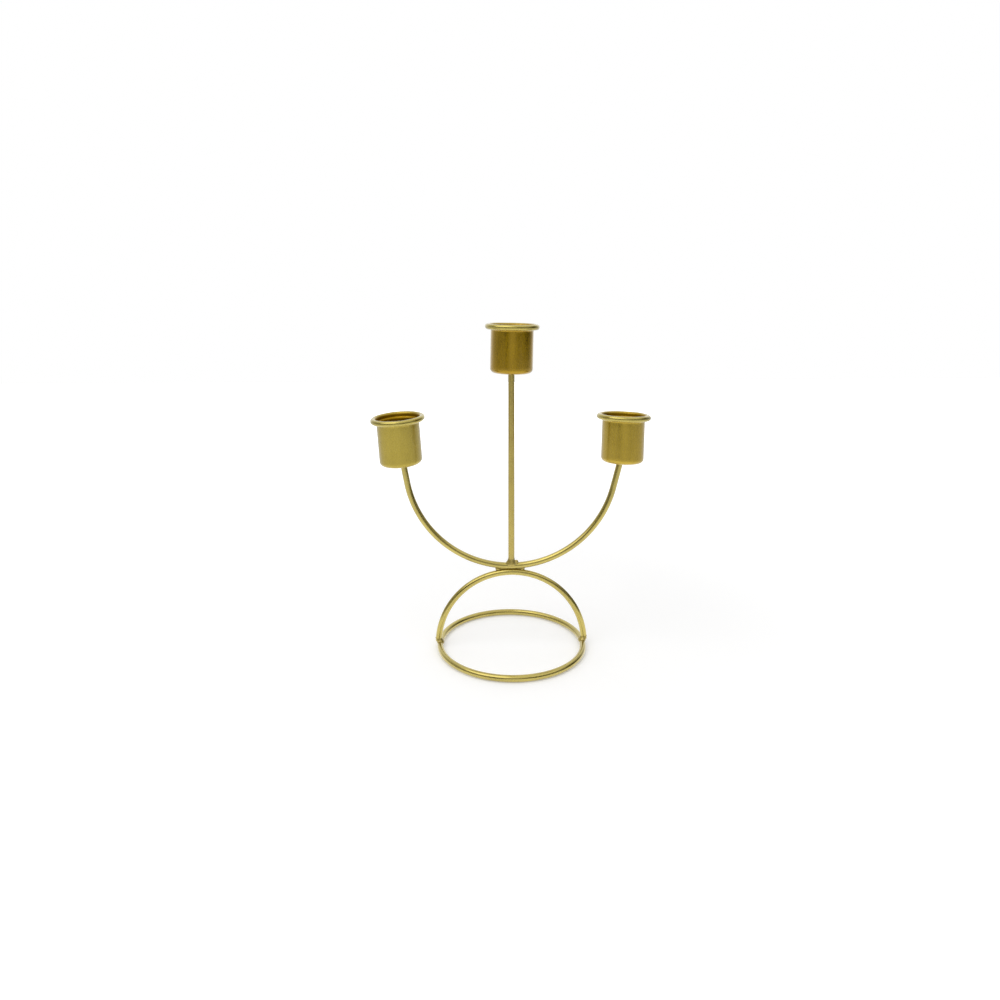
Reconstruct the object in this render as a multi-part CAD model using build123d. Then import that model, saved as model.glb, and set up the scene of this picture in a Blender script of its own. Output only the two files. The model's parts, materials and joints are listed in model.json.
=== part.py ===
from build123d import *
from math import acos, asin, atan2, cos, degrees, radians, sin
import os

# A table candle holder for three candles, bent and welded from round steel wire, in millimetres.
# The origin is the centre of the base ring, on the table. +X runs along the row of cups to the
# viewer's right, +Z is up, and the holder is looked at from -Y.

# Overall sizes of the welded holder
overall_width = 185.0
overall_height = 218.0
ring_diameter = 100.0

# Round wire, and the gap that weld metal bridges wherever two pieces meet
wire_diameter = 4.2
root_gap = 0.1

# Arch: a half circle of wire that stands on the ring, its wire a little outboard of the ring's
arch_overhang = 1.2

# Arm: one wire bent to an arc that rests on the arch's crown, straight where it nears the cups
outer_seat_height = 125.6
arm_straight = 13.0
arm_end_inset = 1.3

# Cups, deep drawn from sheet
sheet = 0.7
cup_height = 32.1
cup_body_radius = 14.0
cup_corner_radius = 3.0
neck_step = 0.9
neck_bend_radius = 1.2
neck_lip = 0.9
rim_bead_radius = 1.85
rim_curl_turn = 300.0

# How each cup is turned from upright as it is welded on: its lean towards +X, its tip towards -Y
left_cup_lean = -3.8
left_cup_tip = 2.4
centre_cup_lean = 1.2
centre_cup_tip = 0.4
right_cup_lean = 1.8
right_cup_tip = -2.2

# Weld fillet under each cup
cup_weld_leg = 1.5

# Weld fillets at the feet of the arch and of the post: how far each climbs the upright wire, spreads
# along the wire below it and stands out from that wire's sides
foot_weld_height = 2.2
foot_weld_spread = 1.5
foot_weld_side = 0.4
post_weld_height = 3.2
post_weld_spread = 1.8
post_weld_side = 0.6

# Their hollow flank: its middle as shares of the climb and the spread, and how far below the lower
# wire's crest the fillet is widest
flank_height = 0.35
flank_spread = 0.45
fillet_toe_drop = 0.6

# Lump of spare weld metal beside the post's foot
lump_radius = 1.5
lump_right = 3.3
lump_front = 0.5
lump_rise = 0.5

# Weld bead laid from behind between arm and arch, thick at its two ends
crown_weld_length = 20.0
crown_weld_blob = 1.9
crown_weld_waist = 1.1
crown_weld_setback = 0.9
crown_weld_shift = -0.8

wire_radius = wire_diameter / 2
ring_radius = ring_diameter / 2 - wire_radius
arch_radius = ring_radius + arch_overhang
arch_top = wire_radius + arch_radius + wire_radius
arm_seat = arch_top + root_gap
arm_top = arm_seat + wire_diameter

wall_radius = cup_body_radius - sheet / 2
rim_curl_radius = rim_bead_radius - sheet / 2
rim_circle_radius = wall_radius + neck_step + rim_curl_radius
rim_circle_height = cup_height - rim_bead_radius


def outward_seat(side, tilt):
    """Where an outer cup's underside centre lies, so that its rim just reaches the overall width."""
    mouth = (tilt * Pos(0, 0, 1)).position
    rim_reach = rim_circle_radius * (1 - mouth.X ** 2) ** 0.5 + rim_bead_radius
    return side * (overall_width / 2 - rim_reach) - rim_circle_height * mouth.X


def middle_seat_height(tilt):
    """Where the middle cup's underside centre lies, so that its rim just reaches the overall height."""
    mouth = (tilt * Pos(0, 0, 1)).position
    rim_reach = rim_circle_radius * (1 - mouth.Z ** 2) ** 0.5 + rim_bead_radius
    return overall_height - rim_reach - rim_circle_height * mouth.Z


left_tilt = Rot(0, left_cup_lean, 0) * Rot(left_cup_tip, 0, 0)
centre_tilt = Rot(0, centre_cup_lean, 0) * Rot(centre_cup_tip, 0, 0)
right_tilt = Rot(0, right_cup_lean, 0) * Rot(right_cup_tip, 0, 0)
left_seat = Pos(outward_seat(-1, left_tilt), 0, outer_seat_height) * left_tilt
centre_seat = Pos(0, 0, middle_seat_height(centre_tilt)) * centre_tilt
right_seat = Pos(outward_seat(1, right_tilt), 0, outer_seat_height) * right_tilt

# The arc's radius leaves the stated straight at the end nearer the middle
arm_reach = min(-left_seat.position.X, right_seat.position.X) - arm_end_inset
arm_rise = outer_seat_height - arm_seat - wire_radius
arm_radius = (arm_reach ** 2 + arm_rise ** 2 - arm_straight ** 2) / (2 * arm_rise)
arm_centre = arm_seat + wire_radius + arm_radius


def wire(path):
    """Round wire along a path, with square-cut ends."""
    return sweep(Plane(origin=path @ 0, z_dir=path % 0) * Circle(wire_radius), path=path)


def above_seat(seat, gap=0.0):
    """The space over a cup's underside, less a gap, used to grind wires and welds to fit below it."""
    size = 2 * cup_body_radius
    return seat * Pos(0, 0, -gap) * Box(size, size, size, align=(Align.CENTER, Align.CENTER, Align.MIN))


def base_ring():
    """The wire ring that everything stands on, butt welded closed under an arch foot."""
    return Pos(0, 0, wire_radius) * Torus(ring_radius, wire_radius)


def arch():
    """A half circle of wire, cut off square where its feet come down on the ring's top."""
    foot_angle = degrees(asin((wire_radius + root_gap) / arch_radius))
    bend = CenterArc((0, wire_radius), arch_radius, foot_angle, 180 - 2 * foot_angle)
    return wire(Plane.XZ * bend)


def arm_end(side, seat):
    """Where the arm's arc runs out into a straight, aimed at a cup: the arc's end angle, the
    straight's length and the wire's end."""
    end = Vector(seat.position.X - side * arm_end_inset, outer_seat_height)
    from_centre = Vector(abs(end.X), end.Y - arm_centre)
    turn = degrees(atan2(from_centre.X, -from_centre.Y) - acos(arm_radius / from_centre.length))
    straight = (from_centre.length ** 2 - arm_radius ** 2) ** 0.5
    return turn, straight, end


def arm():
    """The U-shaped arm: an arc with a short straight at each end, ground to fit under the cups."""
    left_turn, left_straight, _ = arm_end(-1, left_seat)
    right_turn, right_straight, _ = arm_end(1, right_seat)
    bend = CenterArc((0, arm_centre), arm_radius, 270 - left_turn, left_turn + right_turn)
    spare = wire_diameter
    left = Line(bend @ 0 - (bend % 0) * (left_straight + spare), bend @ 0)
    right = Line(bend @ 1, bend @ 1 + (bend % 1) * (right_straight + spare))
    body = wire(Plane.XZ * Wire([left, bend, right]))
    return body - above_seat(left_seat, root_gap) - above_seat(right_seat, root_gap)


def post():
    """The straight wire from the arm's crest up to the middle cup, ground to fit under it."""
    foot = arm_top + root_gap
    length = centre_seat.position.Z + wire_diameter - foot
    body = Pos(0, 0, foot) * Cylinder(wire_radius, length, align=(Align.CENTER, Align.CENTER, Align.MIN))
    return body - above_seat(centre_seat, root_gap)


def sheet_face(bends, offset):
    """One face of the bent sheet: straight runs and tangent bends, off the sheet's middle line."""
    point, heading = Vector(0, sheet / 2 + offset), Vector(1, 0)
    edges = []
    for run, radius, turn in bends:
        if run > 0:
            edges.append(Line(point, point + heading * run))
            point = edges[-1] @ 1
        inside = 1 if turn > 0 else -1
        edges.append(JernArc(point, heading, radius - inside * offset, turn))
        point, heading = edges[-1] @ 1, edges[-1] % 1
    return edges


def cup():
    """A drawn cup: flat floor, rounded corner, straight wall, a necked-out lip and a rim that is
    curled outwards into a hollow bead. The origin is the centre of its underside."""
    corner = cup_corner_radius - sheet / 2
    neck_turn = acos(1 - neck_step / (2 * neck_bend_radius))
    neck_height = 2 * neck_bend_radius * sin(neck_turn)
    floor_run = wall_radius - corner
    wall_run = rim_circle_height - neck_lip - neck_height - sheet / 2 - corner
    bends = [
        (floor_run, corner, 90),
        (wall_run, neck_bend_radius, -degrees(neck_turn)),
        (0, neck_bend_radius, degrees(neck_turn)),
        (neck_lip, rim_curl_radius, -rim_curl_turn),
    ]
    inner = sheet_face(bends, sheet / 2)
    outer = sheet_face(bends, -sheet / 2)
    curl_edge = Line(inner[-1] @ 1, outer[-1] @ 1)
    floor_centre = Line(inner[0] @ 0, outer[0] @ 0)
    profile = make_face([*inner, curl_edge, *outer, floor_centre])
    return revolve(Plane.XZ * profile, axis=Axis.Z)


def saddle_fillet(crest, height, top_x, toe_x, spread_x, spread_y):
    """Weld metal round the foot of an upright wire. Its level sections are ellipses: close round the
    upright at the top, widest just below the lower wire's crest, close again half way down it."""
    neck = wire_radius + root_gap
    sections = [
        (crest + height, top_x, 0),
        (crest + height * flank_height, (top_x + toe_x) / 2, flank_spread),
        (crest - fillet_toe_drop, toe_x, 1),
        (crest - wire_radius, toe_x, 0),
    ]
    faces = []
    for level, x, share in sections:
        faces.append(Pos(x, 0, level) * Ellipse(neck + share * spread_x, neck + share * spread_y))
    return loft(Sketch() + faces)


def foot_weld(side, metal):
    """The fillet that joins an arch foot to the ring and spreads along the ring."""
    foot_x, ring_x = side * arch_radius, side * ring_radius
    fillet = saddle_fillet(wire_diameter, foot_weld_height, foot_x, ring_x, foot_weld_side, foot_weld_spread)
    return fillet - metal


def post_weld(metal):
    """The flared fillet that joins the post to the arm, with a lump of spare metal at its right."""
    fillet = saddle_fillet(arm_top, post_weld_height, 0, 0, post_weld_spread, post_weld_side)
    fillet += Pos(lump_right, -lump_front, arm_top + lump_rise) * Sphere(lump_radius)
    return fillet - metal


def crown_weld(metal):
    """The bead laid from behind in the crevice between arm and arch, thick at its two ends."""
    level = arch_top + root_gap / 2
    place = Pos(crown_weld_shift, crown_weld_setback, level)
    half = crown_weld_length / 2 - crown_weld_blob
    bead = place * Rot(0, 90, 0) * Cylinder(crown_weld_waist, 2 * half)
    for side in (-1, 1):
        bead += place * Pos(side * half, 0, 0) * Sphere(crown_weld_blob)
    return bead - metal


def cup_weld(seat, end, heading, metal):
    """The ring of fillet under a cup, turned about the wire's end and ground to the cup's floor."""
    reach = wire_radius + cup_weld_leg
    spare = 2 * cup_weld_leg
    hollow = CenterArc((reach, -cup_weld_leg), cup_weld_leg, 90, 90)
    rest = Polyline((reach, 0), (reach, spare), (0, spare), (0, -cup_weld_leg), (wire_radius, -cup_weld_leg))
    fillet = revolve(Plane.XZ * make_face([hollow, rest]), axis=Axis.Z)
    return Plane(origin=end, z_dir=heading) * fillet - metal - above_seat(seat)


nodes = {
    "base_ring": base_ring(),
    "arch": arch(),
    "arm": arm(),
    "post": post(),
    "left_cup": left_seat * cup(),
    "centre_cup": centre_seat * cup(),
    "right_cup": right_seat * cup(),
}

foot_metal = nodes["base_ring"] + nodes["arch"]
nodes["left_foot_weld"] = foot_weld(-1, foot_metal)
nodes["right_foot_weld"] = foot_weld(1, foot_metal)
nodes["crown_weld"] = crown_weld(nodes["arch"] + nodes["arm"])
nodes["post_weld"] = post_weld(nodes["arm"] + nodes["post"])
for name, side, seat in (("left_cup_weld", -1, left_seat), ("right_cup_weld", 1, right_seat)):
    turn, _, end = arm_end(side, seat)
    heading = (side * cos(radians(turn)), 0, sin(radians(turn)))
    nodes[name] = cup_weld(seat, (end.X, 0, end.Y), heading, nodes["arm"])
nodes["centre_cup_weld"] = cup_weld(centre_seat, centre_seat.position, (0, 0, 1), nodes["post"])

os.makedirs("parts", exist_ok=True)
for name, solid in nodes.items():
    export_step(solid, f"parts/{name}.step")
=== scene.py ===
import bmesh
import bpy
import json
from math import acos, asin, atan2, cos, pi, radians, sin
from mathutils import Matrix, Vector, noise


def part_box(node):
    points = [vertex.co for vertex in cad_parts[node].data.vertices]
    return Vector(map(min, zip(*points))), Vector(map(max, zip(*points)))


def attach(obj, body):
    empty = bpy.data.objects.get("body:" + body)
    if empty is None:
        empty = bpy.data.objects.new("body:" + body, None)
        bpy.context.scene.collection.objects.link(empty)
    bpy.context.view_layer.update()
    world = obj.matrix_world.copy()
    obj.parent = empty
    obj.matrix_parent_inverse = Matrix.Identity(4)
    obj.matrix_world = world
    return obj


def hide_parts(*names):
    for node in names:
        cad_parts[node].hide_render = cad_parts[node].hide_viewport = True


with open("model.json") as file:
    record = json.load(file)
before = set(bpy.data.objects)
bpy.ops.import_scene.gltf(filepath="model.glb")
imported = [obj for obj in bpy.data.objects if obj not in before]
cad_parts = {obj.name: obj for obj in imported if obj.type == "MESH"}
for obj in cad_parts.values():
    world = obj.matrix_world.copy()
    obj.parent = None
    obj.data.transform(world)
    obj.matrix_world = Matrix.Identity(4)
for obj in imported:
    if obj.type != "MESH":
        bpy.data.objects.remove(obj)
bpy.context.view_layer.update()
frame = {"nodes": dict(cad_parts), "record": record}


# Base ring: drawn round steel wire bent to a circle and butt welded closed, the foot of the holder.
# The whole frame is ground clean and finished in a satin brass colour that lets the drawing lines show.
ring_low, ring_high = (Vector(corner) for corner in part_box("base_ring"))
wire_radius = (ring_high.z - ring_low.z) / 2
ring_radius = (ring_high.x - ring_low.x) / 2 - wire_radius
wire_sides = 48
path_step = 0.0006
wire_light = (0.54, 0.43, 0.065, 1)
wire_deep = (0.43, 0.335, 0.040, 1)
brass_shade = (0.10, 0.065, 0.008, 1)
wire_lacquer = 1.8
wire_roughness = 0.22
grain_stretch = 0.02
lacquer_roughness = 0.16
cloud_scale = 45.0
cloud_band = (0.32, 0.68)
speck_scale = 900.0
speck_band = (0.4, 0.8)
speck_dullness = 0.08
worn_band = (0.58, 0.75)
worn_share = 0.18
tarnish_band = (0.62, 0.78)
tarnish_share = 0.45
satin_band = (0.3, 0.7)
satin_spread = (-0.05, 0.06)
bump_strength = 0.5
inner_dullness = 0.25
inner_lacquer = 0.2


def node(tree, kind, **settings):
    """A new node, with its settings given as sockets or as properties by name."""
    made = tree.nodes.new(kind)
    for name, value in settings.items():
        if name in made.inputs:
            made.inputs[name].default_value = value
        else:
            setattr(made, name, value)
    return made


def join(tree, source, target):
    tree.links.new(source, target)


def mixed(tree, factor, first, second):
    """A colour between two colours or sockets, by a factor socket."""
    blend = node(tree, "ShaderNodeMix", data_type="RGBA")
    join(tree, factor, blend.inputs[0])
    for socket, value in ((blend.inputs[6], first), (blend.inputs[7], second)):
        if isinstance(value, tuple):
            socket.default_value = value
        else:
            join(tree, value, socket)
    return blend.outputs[2]


def between(tree, value, low, high, out_low=0.0, out_high=1.0):
    """A value's run from low to high, mapped smoothly onto another run."""
    span = node(tree, "ShaderNodeMapRange", interpolation_type="SMOOTHSTEP")
    for socket, amount in zip(span.inputs[1:5], (low, high, out_low, out_high)):
        socket.default_value = amount
    join(tree, value, span.inputs[0])
    return span.outputs[0]


def brass_finish(name, light, deep, lacquer, roughness, grain_scale, grain_depth, mottle_depth,
                 inner=None, rolled=None):
    """Satin brass: clouded tone, fine marks that follow the metal's own grain, and darker low spots. An
    inner tone, where given, is painted shade over what the piece's own attributes mark as inside, and a
    rolled tone is a painted highlight over what they mark as rim."""
    material = bpy.data.materials.new(name)
    material.use_nodes = True
    tree = material.node_tree
    shader = tree.nodes["Principled BSDF"]
    shader.inputs["Metallic"].default_value = 1.0
    shader.inputs["Coat Weight"].default_value = 1.0
    shader.inputs["Coat IOR"].default_value = lacquer
    shader.inputs["Coat Roughness"].default_value = lacquer_roughness
    place = node(tree, "ShaderNodeTexCoord").outputs["Object"]
    cloud = node(tree, "ShaderNodeTexNoise", Scale=cloud_scale, Detail=5.0, Roughness=0.6)
    join(tree, place, cloud.inputs["Vector"])
    speck = node(tree, "ShaderNodeTexNoise", Scale=speck_scale, Detail=3.0, Roughness=0.55)
    join(tree, place, speck.inputs["Vector"])
    grain = node(tree, "ShaderNodeTexNoise", Scale=grain_scale, Detail=4.0, Roughness=0.65)
    run = node(tree, "ShaderNodeAttribute", attribute_name="grain")
    join(tree, run.outputs["Vector"], grain.inputs["Vector"])
    tone = mixed(tree, between(tree, cloud.outputs["Fac"], *cloud_band), deep, light)
    worn = mixed(tree, between(tree, grain.outputs["Fac"], *worn_band, 0.0, worn_share), tone, light)
    spotted = between(tree, speck.outputs["Fac"], *tarnish_band, 0.0, tarnish_share)
    tarnish = mixed(tree, spotted, worn, brass_shade)
    dull = node(tree, "ShaderNodeMath", operation="ADD")
    rough = dull.outputs[0]
    if inner:
        hollow = node(tree, "ShaderNodeAttribute", attribute_name="inside").outputs["Fac"]
        rim = node(tree, "ShaderNodeAttribute", attribute_name="rim").outputs["Fac"]
        # The rolled tone is a painted highlight: the rim bead made paler where its bright reflections fall
        tarnish = mixed(tree, rim, tarnish, rolled)
        # The inner tone is painted shade: the inside of the cup darkened to the dim brown it shows from
        # mirroring itself
        tarnish = mixed(tree, hollow, tarnish, inner)
        duller = node(tree, "ShaderNodeMath", operation="ADD")
        join(tree, rough, duller.inputs[0])
        join(tree, between(tree, hollow, 0.0, 1.0, 0.0, inner_dullness), duller.inputs[1])
        rough = duller.outputs[0]
        join(tree, between(tree, hollow, 0.0, 1.0, 1.0, inner_lacquer), shader.inputs["Coat Weight"])
    join(tree, tarnish, shader.inputs["Base Color"])
    smoothest, roughest = (roughness + change for change in satin_spread)
    join(tree, between(tree, grain.outputs["Fac"], *satin_band, smoothest, roughest), dull.inputs[0])
    join(tree, between(tree, speck.outputs["Fac"], *speck_band, 0.0, speck_dullness), dull.inputs[1])
    join(tree, rough, shader.inputs["Roughness"])
    lines = node(tree, "ShaderNodeBump", Distance=grain_depth, Strength=bump_strength)
    join(tree, grain.outputs["Fac"], lines.inputs["Height"])
    mottle = node(tree, "ShaderNodeBump", Distance=mottle_depth, Strength=bump_strength)
    join(tree, cloud.outputs["Fac"], mottle.inputs["Height"])
    join(tree, lines.outputs[0], mottle.inputs["Normal"])
    join(tree, mottle.outputs[0], shader.inputs["Normal"])
    return material


def piece_tree(name, inputs):
    """A new node tree for a piece, which takes a geometry and the named inputs."""
    tree = bpy.data.node_groups.new(name, "GeometryNodeTree")
    for label, kind in (("Geometry", "Geometry"), *inputs, ("Finish", "Material")):
        tree.interface.new_socket(label, in_out="INPUT", socket_type="NodeSocket" + kind)
    tree.interface.new_socket("Geometry", in_out="OUTPUT", socket_type="NodeSocketGeometry")
    return tree


def end_tree(tree, given, surface):
    """Ends a piece's tree with smooth shading, geometry that is no longer instances, and the finish."""
    smooth = node(tree, "GeometryNodeSetShadeSmooth")
    join(tree, surface, smooth.inputs["Geometry"])
    realized = node(tree, "GeometryNodeRealizeInstances")
    join(tree, smooth.outputs[0], realized.inputs[0])
    finish = node(tree, "GeometryNodeSetMaterial")
    join(tree, realized.outputs[0], finish.inputs["Geometry"])
    join(tree, given.outputs["Finish"], finish.inputs["Material"])
    join(tree, finish.outputs[0], node(tree, "NodeGroupOutput").inputs[0])


def drawn_wire_tree():
    """Round wire along a path. It stores where each point lies across and along the wire, which the
    drawing lines follow."""
    tree = piece_tree("drawn wire", (("Wire radius", "Float"), ("Sides", "Int"), ("Grain stretch", "Float")))
    given = node(tree, "NodeGroupInput")
    path = node(tree, "GeometryNodeMeshToCurve")
    join(tree, given.outputs["Geometry"], path.inputs[0])
    spline = node(tree, "GeometryNodeSplineParameter")
    shrink = node(tree, "ShaderNodeMath", operation="MULTIPLY")
    join(tree, spline.outputs["Length"], shrink.inputs[0])
    join(tree, given.outputs["Grain stretch"], shrink.inputs[1])
    along = node(tree, "GeometryNodeStoreNamedAttribute", data_type="FLOAT", Name="along")
    join(tree, path.outputs[0], along.inputs["Geometry"])
    join(tree, shrink.outputs[0], along.inputs["Value"])
    round_section = node(tree, "GeometryNodeCurvePrimitiveCircle")
    join(tree, given.outputs["Sides"], round_section.inputs["Resolution"])
    join(tree, given.outputs["Wire radius"], round_section.inputs["Radius"])
    across = node(tree, "GeometryNodeStoreNamedAttribute", data_type="FLOAT_VECTOR", Name="across")
    join(tree, round_section.outputs[0], across.inputs["Geometry"])
    join(tree, node(tree, "GeometryNodeInputPosition").outputs[0], across.inputs["Value"])
    body = node(tree, "GeometryNodeCurveToMesh")
    body.inputs["Fill Caps"].default_value = True
    join(tree, along.outputs[0], body.inputs["Curve"])
    join(tree, across.outputs[0], body.inputs["Profile Curve"])
    read_across = node(tree, "GeometryNodeInputNamedAttribute", data_type="FLOAT_VECTOR", Name="across")
    read_along = node(tree, "GeometryNodeInputNamedAttribute", data_type="FLOAT", Name="along")
    level = node(tree, "ShaderNodeCombineXYZ")
    join(tree, read_along.outputs[0], level.inputs["Z"])
    total = node(tree, "ShaderNodeVectorMath", operation="ADD")
    join(tree, read_across.outputs[0], total.inputs[0])
    join(tree, level.outputs[0], total.inputs[1])
    grain = node(tree, "GeometryNodeStoreNamedAttribute", data_type="FLOAT_VECTOR", Name="grain")
    join(tree, body.outputs[0], grain.inputs["Geometry"])
    join(tree, total.outputs[0], grain.inputs["Value"])
    end_tree(tree, given, grain.outputs[0])
    return tree


def built(name, host, tree, values):
    """The plain mesh piece that a node tree makes of a host mesh."""
    carrier = bpy.data.objects.new(name + "_path", host)
    bpy.context.scene.collection.objects.link(carrier)
    modifier = carrier.modifiers.new("build", "NODES")
    modifier.node_group = tree
    for item in tree.interface.items_tree:
        if item.in_out == "INPUT" and item.name in values:
            modifier[item.identifier] = values[item.name]
    evaluated = carrier.evaluated_get(bpy.context.evaluated_depsgraph_get())
    mesh = bpy.data.meshes.new_from_object(evaluated)
    bpy.data.objects.remove(carrier)
    mesh.name = name
    piece = bpy.data.objects.new(name, mesh)
    bpy.context.scene.collection.objects.link(piece)
    return piece


def path_mesh(points, closed=False):
    """A chain of edges through points."""
    edges = [(i, i + 1) for i in range(len(points) - 1)]
    if closed:
        edges.append((len(points) - 1, 0))
    chain = bpy.data.meshes.new("path")
    chain.from_pydata(points, edges, [])
    return chain


def arc_points(centre_z, radius, start, end):
    """Points on an upright arc over the middle of the holder, angles in radians from +X."""
    steps = round(radius * abs(end - start) / path_step)
    turns = [start + (end - start) * i / steps for i in range(steps + 1)]
    return [(radius * cos(turn), 0, centre_z + radius * sin(turn)) for turn in turns]


def dressed(piece, node_name):
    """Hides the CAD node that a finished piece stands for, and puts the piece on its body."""
    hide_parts(node_name)
    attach(piece, "root")


wire_tree = drawn_wire_tree()
drawing_lines = {"grain_scale": 2600.0, "grain_depth": 0.00002, "mottle_depth": 0.00003}
wire_brass = brass_finish("satin brass wire", wire_light, wire_deep, wire_lacquer, wire_roughness,
                          **drawing_lines)
wire_values = {"Wire radius": wire_radius, "Sides": wire_sides, "Grain stretch": grain_stretch,
               "Finish": wire_brass}

ring_steps = round(2 * pi * ring_radius / path_step)
ring_turns = [2 * pi * i / ring_steps for i in range(ring_steps)]
ring_points = [(ring_radius * cos(turn), ring_radius * sin(turn), wire_radius) for turn in ring_turns]
ring_wire = built("ring_wire", path_mesh(ring_points, closed=True), wire_tree, wire_values)
dressed(ring_wire, "base_ring")


# Arch: the same wire bent to a half circle. It is cut off square at both feet and stands across the
# ring, a little outboard of the ring's own wire, held there by a fillet of weld at each foot.
arch_low, arch_high = (Vector(corner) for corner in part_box("arch"))
arch_radius = arch_high.z - 2 * wire_radius
foot_angle = asin((arch_low.z - wire_radius) / arch_radius)
arch_wire = built("arch_wire", path_mesh(arc_points(wire_radius, arch_radius, foot_angle, pi - foot_angle)),
                  wire_tree, wire_values)
dressed(arch_wire, "arch")


# Cups: each is deep drawn from thin sheet, with a round corner under a straight wall. The lip is
# necked out below the rim, and the rim is rolled outwards into a hollow bead.
sheet = 0.0007
cup_height = 0.0321
body_radius = 0.0140
corner_radius = 0.0030
neck_step = 0.0009
neck_bend = 0.0012
neck_lip = 0.0009
bead_radius = 0.00185
curl_turn = radians(300)
cup_segments = 192
neck_turn = acos(1 - neck_step / (2 * neck_bend))
neck_height = 2 * neck_bend * sin(neck_turn)
wall_top = cup_height - bead_radius - neck_lip - neck_height
bead_swell = 0.00010
bead_sink = 0.00006
swell_waves = 2.2
bend_step = radians(9)
lip_fade = 7
wall_step = 0.0014
grain_squeeze = 0.12
# A light and a deep tone for each cup, because the three look slightly different. They are one finish,
# painted lighter or darker per cup as painted light and shade, the centre cup's deeper brown painted shade
cup_tones_lit_and_shaded = {
    "left": ((0.50, 0.385, 0.055, 1), (0.44, 0.335, 0.042, 1)),
    "centre": ((0.48, 0.30, 0.003, 1), (0.40, 0.245, 0.002, 1)),
    "right": ((0.54, 0.38, 0.035, 1), (0.47, 0.325, 0.025, 1)),
}
cup_lacquer = 1.4
# Painted shade inside the cups: the inner wall darkened to the dim brown it shows from mirroring itself
inside_painted_shade = (0.40, 0.235, 0.003, 1)
# Painted highlight on the rolled rims: a paler gold standing in for the bead's bright reflections
rim_painted_highlight = (0.50, 0.41, 0.09, 1)


def sheet_face(offset):
    """One face of the cup's sheet, from the middle of its floor to the curl's edge, as points of
    distance from the axis, height, and distance run along the sheet."""
    corner = corner_radius - sheet / 2
    curl = bead_radius - sheet / 2
    bends = [
        (body_radius - corner_radius, corner, pi / 2),
        (wall_top - corner_radius, neck_bend, -neck_turn),
        (0, neck_bend, neck_turn),
        (neck_lip, curl, -curl_turn),
    ]
    points = [(0.0, sheet / 2 + offset, 0.0)]
    heading = 0.0
    for run, radius, turn in bends:
        out, up, done = points[-1]
        steps = round(run / wall_step)
        for i in range(1, steps + 1):
            reach = run * i / steps
            points.append((out + reach * cos(heading), up + reach * sin(heading), done + reach))
        out, up, done = points[-1]
        side = 1 if turn > 0 else -1
        bend = radius - side * offset
        steps = round(abs(turn) / bend_step)
        for i in range(1, steps + 1):
            angle = heading + turn * i / steps
            around = side * bend * (sin(angle) - sin(heading))
            rise = side * bend * (cos(heading) - cos(angle))
            points.append((out + around, up + rise, done + radius * abs(turn) * i / steps))
        heading += turn
    return points


def held(amount):
    """An amount kept between none and one."""
    return min(1.0, max(0.0, amount))


def cup_mesh(name, seat, upright, seed):
    """The cup turned from its two sheet faces, with the slight unevenness of a rolled bead. Its own
    attributes hold the grain of the drawn wall, and where the inside and the rim are."""
    inner = sheet_face(sheet / 2)
    outer = sheet_face(-sheet / 2)
    profile = inner[1:] + outer[:0:-1]
    edge = len(inner) - 1
    lip = edge - round(curl_turn / bend_step)
    outer_lip = 2 * edge - lip
    verts, grain, inside, rim = [], [], [], []
    turn_to = Vector((0, 0, 1)).rotation_difference(upright).to_matrix()
    for i in range(cup_segments):
        turn = 2 * pi * i / cup_segments
        around_bead = Vector((cos(turn) * swell_waves, sin(turn) * swell_waves, seed))
        swell = noise.noise(around_bead) * bead_swell - bead_sink
        for j, (out, up, run) in enumerate(profile):
            bead = held((up - cup_height + 3 * bead_radius) / bead_radius)
            out_here = out + swell * bead
            spot = Vector((out_here * cos(turn), out_here * sin(turn), up + swell * bead))
            verts.append(seat + turn_to @ spot)
            grain.append((cos(turn) * body_radius, sin(turn) * body_radius, run * grain_squeeze))
            past_lip = (j - lip) / lip_fade
            inside.append(held(1 - past_lip) if j < edge else 0.0)
            rim.append(held(past_lip) if j < outer_lip else 0.0)
    rows = len(profile)
    faces = []
    for i in range(cup_segments):
        here, there = i * rows, (i + 1) % cup_segments * rows
        for j in range(rows - 1):
            faces.append((here + j, there + j, there + j + 1, here + j + 1))
    for end, height, flip in ((0, inner[0][1], True), (rows - 1, outer[0][1], False)):
        pole = len(verts)
        verts.append(seat + turn_to @ Vector((0, 0, height)))
        grain.append((0, 0, 0))
        inside.append(1.0 if flip else 0.0)
        rim.append(0.0)
        for i in range(cup_segments):
            here, there = i * rows + end, (i + 1) % cup_segments * rows + end
            faces.append((pole, there, here) if flip else (pole, here, there))
    mesh = bpy.data.meshes.new(name)
    mesh.from_pydata(verts, [], faces)
    shell = bmesh.new()
    shell.from_mesh(mesh)
    bmesh.ops.recalc_face_normals(shell, faces=shell.faces)
    shell.to_mesh(mesh)
    shell.free()
    mesh.shade_smooth()
    stored = mesh.attributes.new("grain", "FLOAT_VECTOR", "POINT")
    stored.data.foreach_set("vector", [number for spot in grain for number in spot])
    mesh.attributes.new("inside", "FLOAT", "POINT").data.foreach_set("value", inside)
    mesh.attributes.new("rim", "FLOAT", "POINT").data.foreach_set("value", rim)
    piece = bpy.data.objects.new(name, mesh)
    bpy.context.scene.collection.objects.link(piece)
    return piece


bores = {mount["name"]: mount for mount in frame["record"]["mounts"]}
bore_middle = (corner_radius + wall_top) / 2
seed_step = 7.3
seats = {}
for count, side in enumerate(("left", "centre", "right")):
    mount = bores[side + "_cup_bore"]
    upright = Vector(mount["axis"]).normalized()
    seats[side] = (Vector(mount["pos_m"]) - upright * bore_middle, upright)
    light, deep = cup_tones_lit_and_shaded[side]
    cup = cup_mesh(side + "_drawn_cup", *seats[side], count * seed_step)
    cup.data.materials.append(
        brass_finish(side + " cup brass", light, deep, cup_lacquer, roughness=0.27, grain_scale=900.0,
                     grain_depth=0.000025, mottle_depth=0.00004, inner=inside_painted_shade, rolled=rim_painted_highlight))
    dressed(cup, side + "_cup")


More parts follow.
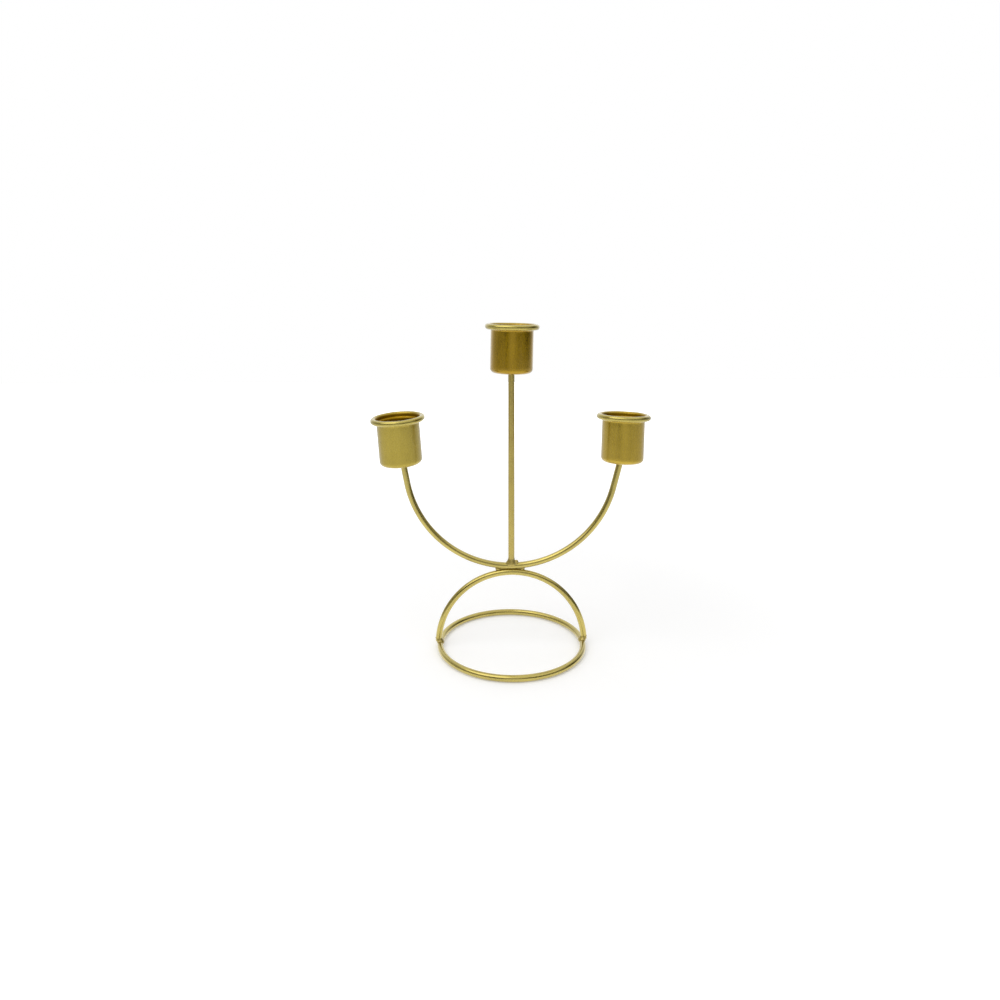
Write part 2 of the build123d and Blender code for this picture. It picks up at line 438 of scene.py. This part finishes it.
# Arm: one wire bent to a long arc that rests on the arch's crown. It runs out straight at both ends,
# which are ground to the slope of the cups' floors.
arm_low = Vector(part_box("arm")[0])
arm_end_inset = 0.0013
arm_straight = 0.0130
arm_ends = {side: (abs(seats[side][0].x) - arm_end_inset, seats[side][0].z) for side in ("left", "right")}
arm_reach = min(arm_ends["left"][0], arm_ends["right"][0])
arm_rise = seats["left"][0].z - arm_low.z - wire_radius
arm_radius = (arm_reach ** 2 + arm_rise ** 2 - arm_straight ** 2) / (2 * arm_rise)
arm_centre = arm_low.z + wire_radius + arm_radius


def arm_end(side):
    """The arc's end angle from straight down, and the straight's length, towards one cup."""
    reach, height = arm_ends[side]
    span = Vector((reach, height - arm_centre))
    turn = atan2(span.x, -span.y) - acos(arm_radius / span.length)
    return turn, (span.length ** 2 - arm_radius ** 2) ** 0.5


def cut_flush(piece, seat, upright, gap):
    """Grinds a wire's end off where it meets the plane just under a cup's floor."""
    cut = bmesh.new()
    cut.from_mesh(piece.data)
    everything = cut.verts[:] + cut.edges[:] + cut.faces[:]
    bmesh.ops.bisect_plane(cut, geom=everything, plane_co=seat - upright * gap, plane_no=upright,
                           clear_outer=True)
    bmesh.ops.holes_fill(cut, edges=[edge for edge in cut.edges if edge.is_boundary])
    cut.to_mesh(piece.data)
    cut.free()


left_turn, left_straight = arm_end("left")
right_turn, right_straight = arm_end("right")
arm_points = arc_points(arm_centre, arm_radius, -pi / 2 - left_turn, -pi / 2 + right_turn)
# Each straight runs on a little past its cup's floor, so that the cut takes the whole end
spare = 2 * wire_radius
for side, turn, straight in ((-1, left_turn, left_straight), (1, right_turn, right_straight)):
    near = Vector(arm_points[0] if side < 0 else arm_points[-1])
    steps = round((straight + spare) / path_step)
    runs = [(straight + spare) * i / steps for i in range(1, steps + 1)]
    straight_points = [tuple(near + Vector((side * cos(turn), 0, sin(turn))) * run) for run in runs]
    arm_points = straight_points[::-1] + arm_points if side < 0 else arm_points + straight_points
arm_wire = built("arm_wire", path_mesh(arm_points), wire_tree, wire_values)
weld_gap = 0.0001
for side in ("left", "right"):
    cut_flush(arm_wire, *seats[side], weld_gap)
dressed(arm_wire, "arm")


# Post: a straight length of the wire, welded upright on the arm's crest and ground to the slope of
# the middle cup's floor.
# The post's two tones are the wire's finish made darker: painted shade of the dimmer room the post reflects
post_shaded_light = (0.49, 0.37, 0.040, 1)
post_shaded_deep = (0.40, 0.295, 0.025, 1)
post_low, post_high = (Vector(corner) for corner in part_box("post"))
post_steps = round((post_high.z + wire_radius - post_low.z) / path_step)
post_points = [(0, 0, post_low.z + i * path_step) for i in range(post_steps + 1)]
post_shaded_brass = brass_finish("post shaded brass", post_shaded_light, post_shaded_deep, wire_lacquer, roughness=0.24,
                          **drawing_lines)
post_values = dict(wire_values, Finish=post_shaded_brass)
post_wire = built("post_wire", path_mesh(post_points), wire_tree, post_values)
cut_flush(post_wire, *seats["centre"], weld_gap)
dressed(post_wire, "post")


# Welds: small fillets and beads of weld metal at every joint, left as laid, so their skin is rippled
# and their finish rougher than the wire's. Their darker tone is painted shade of the crevices they sit in.
weld_light = (0.52, 0.40, 0.050, 1)
weld_shaded_deep = (0.34, 0.24, 0.025, 1)
weld_grid = 0.00012
merge_distance = 0.000001
ripple_pitch = 0.0008
ripple_depth = 0.00007
half_ripple = 0.5
waver_scale = 900.0
lay_directions = {
    "left_foot_weld": (0.3, 0.0, 1.0),
    "right_foot_weld": (-0.3, 0.0, 1.0),
    "crown_weld": (1.0, 0.0, 0.0),
    "post_weld": (0.5, 0.2, 0.8),
    "left_cup_weld": (0.8, 0.5, 0.0),
    "centre_cup_weld": (0.8, 0.5, 0.0),
    "right_cup_weld": (0.8, 0.5, 0.0),
}


def rippled_weld_tree():
    """Weld metal with ripples across the direction it was laid in, always sunk below its full form."""
    tree = piece_tree("rippled weld", (
        ("Laid along", "Vector"), ("Ripple pitch", "Float"), ("Ripple depth", "Float")))
    given = node(tree, "NodeGroupInput")
    place = node(tree, "GeometryNodeInputPosition")
    lay = node(tree, "ShaderNodeVectorMath", operation="DOT_PRODUCT")
    join(tree, place.outputs[0], lay.inputs[0])
    join(tree, given.outputs["Laid along"], lay.inputs[1])
    waver = node(tree, "ShaderNodeTexNoise", Scale=waver_scale, Detail=2.0)
    join(tree, place.outputs[0], waver.inputs["Vector"])
    count = node(tree, "ShaderNodeMath", operation="DIVIDE")
    join(tree, lay.outputs["Value"], count.inputs[0])
    join(tree, given.outputs["Ripple pitch"], count.inputs[1])
    shifted = node(tree, "ShaderNodeMath", operation="ADD")
    join(tree, count.outputs[0], shifted.inputs[0])
    join(tree, waver.outputs["Fac"], shifted.inputs[1])
    crest = node(tree, "ShaderNodeMath", operation="PINGPONG")
    crest.inputs[1].default_value = half_ripple
    join(tree, shifted.outputs[0], crest.inputs[0])
    sunk = node(tree, "ShaderNodeMath", operation="MULTIPLY")
    join(tree, crest.outputs[0], sunk.inputs[0])
    join(tree, given.outputs["Ripple depth"], sunk.inputs[1])
    inward = node(tree, "ShaderNodeMath", operation="MULTIPLY")
    join(tree, sunk.outputs[0], inward.inputs[0])
    inward.inputs[1].default_value = -1 / half_ripple
    push = node(tree, "ShaderNodeVectorMath", operation="SCALE")
    join(tree, node(tree, "GeometryNodeInputNormal").outputs[0], push.inputs[0])
    join(tree, inward.outputs[0], push.inputs["Scale"])
    grain = node(tree, "GeometryNodeStoreNamedAttribute", data_type="FLOAT_VECTOR", Name="grain")
    join(tree, given.outputs["Geometry"], grain.inputs["Geometry"])
    join(tree, place.outputs[0], grain.inputs["Value"])
    skin = node(tree, "GeometryNodeSetPosition")
    join(tree, grain.outputs[0], skin.inputs["Geometry"])
    join(tree, push.outputs[0], skin.inputs["Offset"])
    end_tree(tree, given, skin.outputs[0])
    return tree


def even_mesh(node_name):
    """The weld's solid in small even faces, fine enough to carry ripples."""
    solid = frame["nodes"][node_name]
    mesh = solid.data.copy()
    mesh.transform(solid.matrix_world)
    closed = bmesh.new()
    closed.from_mesh(mesh)
    bmesh.ops.remove_doubles(closed, verts=closed.verts, dist=merge_distance)
    closed.to_mesh(mesh)
    closed.free()
    carrier = bpy.data.objects.new(node_name + "_solid", mesh)
    bpy.context.scene.collection.objects.link(carrier)
    modifier = carrier.modifiers.new("even", "REMESH")
    modifier.mode = "VOXEL"
    modifier.voxel_size = weld_grid
    evaluated = carrier.evaluated_get(bpy.context.evaluated_depsgraph_get())
    even = bpy.data.meshes.new_from_object(evaluated)
    bpy.data.objects.remove(carrier)
    even.materials.clear()
    return even


weld_tree = rippled_weld_tree()
weld_shaded_brass = brass_finish("weld shaded brass", weld_light, weld_shaded_deep, wire_lacquer, roughness=0.34,
                          grain_scale=1500.0, grain_depth=0.00006, mottle_depth=0.00006)
for node_name, direction in lay_directions.items():
    bead = built(node_name + "_bead", even_mesh(node_name), weld_tree,
                 {"Laid along": direction, "Ripple pitch": ripple_pitch, "Ripple depth": ripple_depth,
                  "Finish": weld_shaded_brass})
    dressed(bead, node_name)


# Studio: a plain pale floor that whitens with distance, in a surround that is white to the eye. What
# the metal mirrors is white behind the holder and overhead, and the dimmer room in front of it. Two
# broad soft lamps light it, and the camera stands where the photograph was taken.
white = (1, 1, 1, 1)
floor_size = 3.0
floor_pale = (0.86, 0.86, 0.86, 1)
floor_roughness = 0.9
floor_sheen = 0.1
floor_glow = 0.22
whitening = (0.15, 0.9)
mirrored_glow = 0.36
mirrored_reach = (0.08, 0.5)
soft_lamps = (
    ("key", (-0.55, -0.45, 1.05), 1.2, 4.0),
    ("fill", (0.9, -0.5, 0.7), 1.2, 1.0),
)
lamp_target = Vector((0, 0, 0.11))


def seen_directly(tree, rays):
    """A factor of one where a ray comes from the camera or has passed through something clear."""
    seen = node(tree, "ShaderNodeMath", operation="MAXIMUM")
    join(tree, rays.outputs["Is Camera Ray"], seen.inputs[0])
    join(tree, rays.outputs["Is Transmission Ray"], seen.inputs[1])
    return seen.outputs[0]


floor_mesh = bpy.data.meshes.new("floor")
reach = floor_size / 2
floor_mesh.from_pydata([(-reach, -reach, 0), (reach, -reach, 0), (reach, reach, 0), (-reach, reach, 0)],
                       [], [(0, 1, 2, 3)])
floor = bpy.data.objects.new("floor", floor_mesh)
bpy.context.scene.collection.objects.link(floor)
paper = bpy.data.materials.new("pale floor")
paper.use_nodes = True
tree = paper.node_tree
shader = tree.nodes["Principled BSDF"]
shader.inputs["Base Color"].default_value = floor_pale
shader.inputs["Roughness"].default_value = floor_roughness
shader.inputs["Specular IOR Level"].default_value = floor_sheen
shader.inputs["Emission Color"].default_value = white
away = node(tree, "ShaderNodeVectorMath", operation="LENGTH")
join(tree, node(tree, "ShaderNodeTexCoord").outputs["Object"], away.inputs[0])
rays = node(tree, "ShaderNodeLightPath")
glow = node(tree, "ShaderNodeMix", data_type="FLOAT")
join(tree, seen_directly(tree, rays), glow.inputs[0])
mirrored = node(tree, "ShaderNodeMath", operation="MULTIPLY")
join(tree, rays.outputs["Is Glossy Ray"], mirrored.inputs[0])
nearby = between(tree, away.outputs["Value"], *mirrored_reach, mirrored_glow, 0.0)
join(tree, nearby, mirrored.inputs[1])
join(tree, mirrored.outputs[0], glow.inputs[2])
join(tree, between(tree, away.outputs["Value"], *whitening, floor_glow, 1.0), glow.inputs[3])
join(tree, glow.outputs[0], shader.inputs["Emission Strength"])
floor_mesh.materials.append(paper)

for name, place, size, power in soft_lamps:
    lamp = bpy.data.lights.new(name, "AREA")
    lamp.shape = "DISK"
    lamp.size = size
    lamp.energy = power
    holder = bpy.data.objects.new(name, lamp)
    holder.matrix_world = (Matrix.Translation(place)
                           @ (Vector(place) - lamp_target).to_track_quat("Z", "Y").to_matrix().to_4x4())
    bpy.context.scene.collection.objects.link(holder)

# The room's brightness round the holder, by degrees from the camera's side
room_tones = (
    (-180, 1.0), (-140, 0.85), (-112, 0.45), (-75, 0.27), (-50, 0.25), (-28, 0.02), (-9, 0.56), (9, 0.46),
    (32, 0.06), (67, 0.02), (98, 0.0), (124, 0.35), (150, 1.0), (180, 1.0),
)
ceiling_rise = (0.45, 0.80)
ceiling_tone = (0.95, 0.95, 0.95, 1)
world = bpy.data.worlds.new("studio surround")
bpy.context.scene.world = world
world.use_nodes = True
tree = world.node_tree
tree.nodes.clear()
direction = node(tree, "ShaderNodeTexCoord").outputs["Generated"]
parts = node(tree, "ShaderNodeSeparateXYZ")
join(tree, direction, parts.inputs[0])
toward = node(tree, "ShaderNodeMath", operation="MULTIPLY")
join(tree, parts.outputs["Y"], toward.inputs[0])
toward.inputs[1].default_value = -1
azimuth = node(tree, "ShaderNodeMath", operation="ARCTAN2")
join(tree, parts.outputs["X"], azimuth.inputs[0])
join(tree, toward.outputs[0], azimuth.inputs[1])
share = node(tree, "ShaderNodeMapRange")
for socket, amount in zip(share.inputs[1:5], (-pi, pi, 0.0, 1.0)):
    socket.default_value = amount
join(tree, azimuth.outputs[0], share.inputs[0])
room = node(tree, "ShaderNodeValToRGB")
while len(room.color_ramp.elements) > 1:
    room.color_ramp.elements.remove(room.color_ramp.elements[-1])
for i, (degrees_round, level) in enumerate(room_tones):
    spot = (degrees_round + 180) / 360
    element = room.color_ramp.elements[0] if i == 0 else room.color_ramp.elements.new(spot)
    element.position = spot
    element.color = (level, level, level, 1)
join(tree, share.outputs[0], room.inputs[0])
overhead = between(tree, parts.outputs["Z"], *ceiling_rise)
reflected = mixed(tree, overhead, room.outputs[0], ceiling_tone)
colour = mixed(tree, seen_directly(tree, node(tree, "ShaderNodeLightPath")), reflected, white)
surround = node(tree, "ShaderNodeBackground")
join(tree, colour, surround.inputs["Color"])
output = node(tree, "ShaderNodeOutputWorld")
join(tree, surround.outputs[0], output.inputs[0])

camera_place = Vector((-0.01293, -0.48424, 0.23735))
camera_tilt = radians(5.215)
camera_roll = radians(-0.143)
camera_turn = radians(-1.494)
view_centre = (491.56, 361.19)
focal_pixels = 743.6
picture_pixels = 1000
camera = bpy.data.cameras.new("camera")
camera.sensor_width = 36
camera.lens = focal_pixels / picture_pixels * camera.sensor_width
camera.shift_x = 0.5 - view_centre[0] / picture_pixels
camera.shift_y = view_centre[1] / picture_pixels - 0.5
forward = Vector((0, cos(camera_tilt), -sin(camera_tilt)))
upward = Vector((0, sin(camera_tilt), cos(camera_tilt)))
rightward = Vector((1, 0, 0))
rolled_right = rightward * cos(camera_roll) + upward * sin(camera_roll)
rolled_up = upward * cos(camera_roll) - rightward * sin(camera_roll)
axes = Matrix((rolled_right, rolled_up, -forward)).transposed().to_4x4()
viewer = bpy.data.objects.new("camera", camera)
viewer.matrix_world = Matrix.Rotation(camera_turn, 4, "Z") @ Matrix.Translation(camera_place) @ axes
bpy.context.scene.collection.objects.link(viewer)
bpy.context.scene.camera = viewer
bpy.context.scene.view_settings.view_transform = "Standard"
